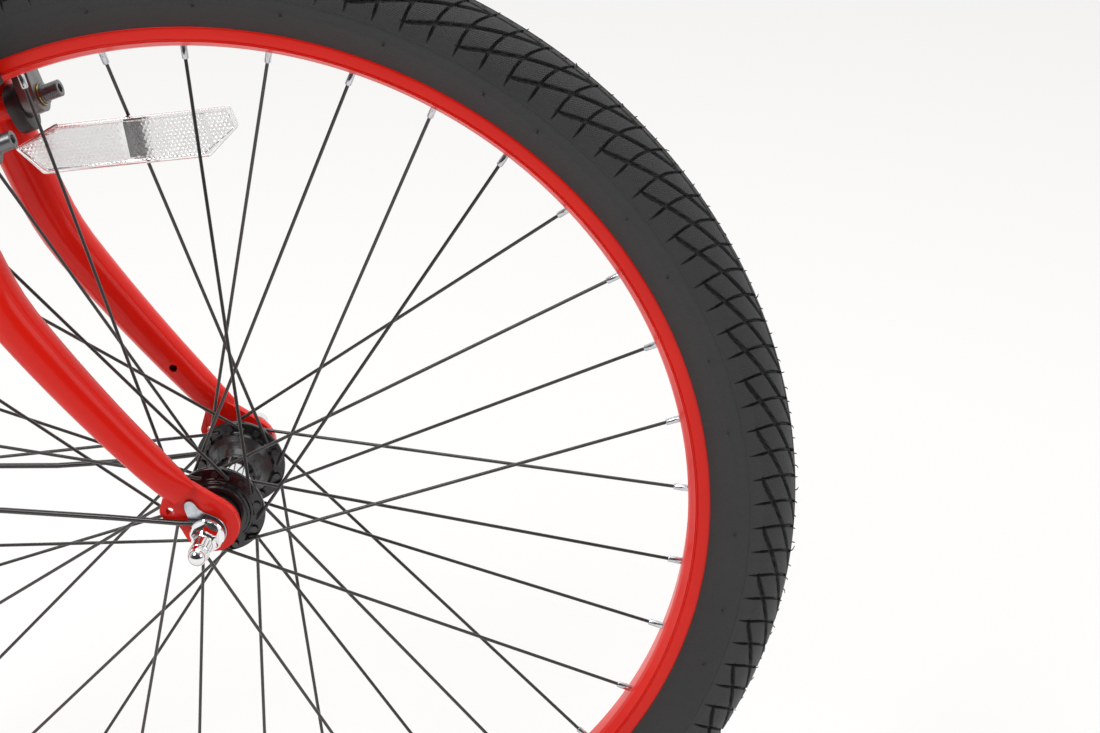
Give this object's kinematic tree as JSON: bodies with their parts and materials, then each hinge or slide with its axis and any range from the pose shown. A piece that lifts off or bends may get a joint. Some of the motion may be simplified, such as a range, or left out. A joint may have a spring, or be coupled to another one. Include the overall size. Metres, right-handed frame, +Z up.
{
  "type": "bicycle front wheel and fork",
  "caption": "Spoked bicycle front wheel on a raked unicrown fork, with rim brakes, solid axle, wheel reflector, mudguard and wire stays.",
  "frame": {"origin": "on the steering axis, where the steerer leaves the top of its crown race", "axes": "+X forward, +Y to the rider's left along the wheel axle, +Z up with the bicycle upright; the steerer leans back by 21.5 degrees"},
  "size_m": [0.6775, 0.1828, 0.8506],
  "materials": {
    "frame_paint": "gloss enamel, saturated red",
    "machined_steel": "ground bearing steel",
    "zinc_plate": "bright zinc plate",
    "bright_chrome": "mirror chrome",
    "black_gloss": "gloss black",
    "black_wire": "black wire, satin to gloss",
    "brass": "yellow zinc and brass",
    "tread_rubber": "matt tyre rubber",
    "soft_rubber": "matt rubber",
    "black_plastic": "moulded black plastic",
    "clear_plastic": "clear prismatic plastic",
    "grey_alloy": "dark grey cast alloy, satin",
    "spring_steel": "drawn spring wire",
    "guard_metal": "gloss black steel sheet"
  },
  "bodies": {
    "fork": {"steerer_tube": "frame_paint", "crown_race": "machined_steel", "right_blade": "frame_paint", "left_blade": "frame_paint", "right_dropout": "frame_paint", "left_dropout": "frame_paint", "right_brake_boss": "frame_paint", "left_brake_boss": "frame_paint", "axle": "zinc_plate", "bearing_cones": "machined_steel", "axle_spacers": "machined_steel", "axle_locknuts": "zinc_plate", "right_tab_washer": "zinc_plate", "left_tab_washer": "zinc_plate", "right_axle_nut": "bright_chrome", "left_axle_nut": "bright_chrome", "pivot_bolts": "grey_alloy", "pivot_washers": "brass", "mudguard": "guard_metal", "mudguard_bracket": "zinc_plate", "mudguard_fasteners": "zinc_plate", "right_stay": "black_wire", "left_stay": "black_wire", "stay_bracket": "zinc_plate"},
    "wheel": {"hub_shell": "black_gloss", "bearing_cups": "machined_steel", "dust_caps": "black_gloss", "rim": "frame_paint", "rim_tape": "soft_rubber", "inner_tube": "soft_rubber", "tyre": "tread_rubber", "valve_stem": "soft_rubber", "valve_cap": "black_plastic", "right_outer_spokes": "black_wire", "right_inner_spokes": "black_wire", "left_outer_spokes": "black_wire", "left_inner_spokes": "black_wire", "nipples": "bright_chrome", "reflector_lens": "clear_plastic", "reflector_back": "clear_plastic", "reflector_clip": "clear_plastic"},
    "bearings": {"bearing_balls": "machined_steel", "ball_retainers": "brass"},
    "right_brake": {"right_brake_arm": "grey_alloy", "right_spring_cover": "black_plastic", "right_return_spring": "spring_steel", "right_brake_shoe": "soft_rubber", "right_shoe_stud": "zinc_plate", "right_shoe_washers": "zinc_plate", "right_shoe_nut": "zinc_plate", "cable_anchor_bolt": "zinc_plate"},
    "left_brake": {"left_brake_arm": "grey_alloy", "left_spring_cover": "black_plastic", "left_return_spring": "spring_steel", "left_brake_shoe": "soft_rubber", "left_shoe_stud": "zinc_plate", "left_shoe_washers": "zinc_plate", "left_shoe_nut": "zinc_plate", "link_pin": "zinc_plate"},
    "link": {"noodle_link": "zinc_plate"}
  },
  "joints": [
    {"name": "wheel_spin", "type": "hinge", "parent": "fork", "child": "wheel", "pos_m": [0.19239, 0, -0.35198], "axis": [0, 1, 0], "continuous": true},
    {"name": "bearing_turn", "type": "hinge", "parent": "fork", "child": "bearings", "pos_m": [0.19239, 0, -0.35198], "axis": [0, 1, 0], "continuous": true},
    {"name": "right_brake_pivot", "type": "hinge", "parent": "fork", "child": "right_brake", "pos_m": [0.08614, -0.045, -0.12729], "axis": [0.9304, 0, 0.3665], "range_deg": [-2.6, 20], "stiffness_Nm_per_rad": 0.6},
    {"name": "left_brake_pivot", "type": "hinge", "parent": "fork", "child": "left_brake", "pos_m": [0.08614, 0.045, -0.12729], "axis": [-0.9304, 0, -0.3665], "range_deg": [-2.6, 20], "stiffness_Nm_per_rad": 0.6},
    {"name": "link_turn", "type": "hinge", "parent": "left_brake", "child": "link", "pos_m": [0.04842, 0.039, -0.02714], "axis": [0.9304, 0, 0.3665], "range_deg": [-60, 30]}
  ],
  "couplings": [
    {"joint": "bearing_turn", "follows": "wheel_spin", "ratio": 0.624},
    {"joint": "left_brake_pivot", "follows": "right_brake_pivot", "ratio": 1}
  ]
}
